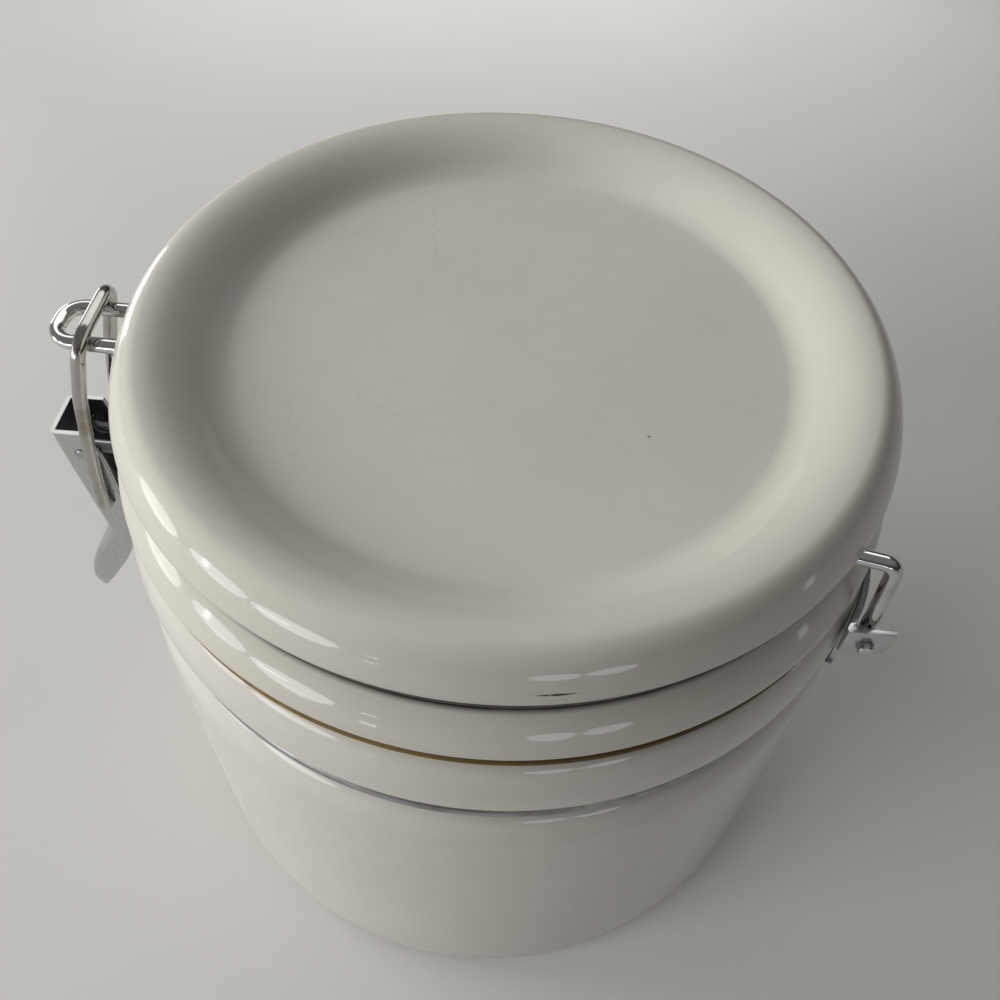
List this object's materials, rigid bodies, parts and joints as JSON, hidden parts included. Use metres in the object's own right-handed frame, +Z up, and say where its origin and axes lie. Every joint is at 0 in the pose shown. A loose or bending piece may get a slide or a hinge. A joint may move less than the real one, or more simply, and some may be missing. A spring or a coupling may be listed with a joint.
{
  "type": "storage canister",
  "caption": "Round glazed stoneware sugar canister with a domed lid, rubber seal, wire-bail toggle clamp in front and a wire hinge with a pressed plate behind.",
  "frame": {"origin": "on the jar's axis, in the plane the canister stands on", "axes": "+Z up along the jar's axis, -X towards the toggle clamp, +X towards the lid hinge, +Y along the hinge axis"},
  "size_m": [0.1481, 0.125, 0.1164],
  "materials": {
    "jar_glaze": "glossy warm white glaze",
    "lid_glaze": "glossy warm white glaze",
    "seal_rubber": "aged amber rubber, satin",
    "wire_chrome": "bright plated wire",
    "bail_wire": "plated wire, slightly dulled",
    "lever_steel": "pressed plated sheet, satin with bright edges",
    "plate_steel": "pressed plated sheet, satin with bright edges"
  },
  "bodies": {
    "jar": {"jar": "jar_glaze", "neck_wire": "wire_chrome", "hinge_plate": "plate_steel"},
    "lid": {"lid": "lid_glaze", "gasket": "seal_rubber", "lid_wire": "wire_chrome"},
    "bail": {"bail": "bail_wire"},
    "lever": {"lever": "lever_steel"}
  },
  "joints": [
    {"name": "lid_hinge", "type": "hinge", "parent": "jar", "child": "lid", "pos_m": [0.057, 0, 0.0886], "axis": [0, 1, 0], "range_deg": [0, 105]},
    {"name": "lever_swing", "type": "hinge", "parent": "jar", "child": "lever", "pos_m": [-0.0741, 0, 0.079], "axis": [0, 1, 0], "range_deg": [0, 105]},
    {"name": "bail_swing", "type": "hinge", "parent": "lid", "child": "bail", "pos_m": [-0.0651, 0, 0.1092], "axis": [0, 1, 0], "range_deg": [0, 28]}
  ],
  "couplings": [
    {"joint": "bail_swing", "follows": "lever_swing", "ratio": 0.26}
  ]
}
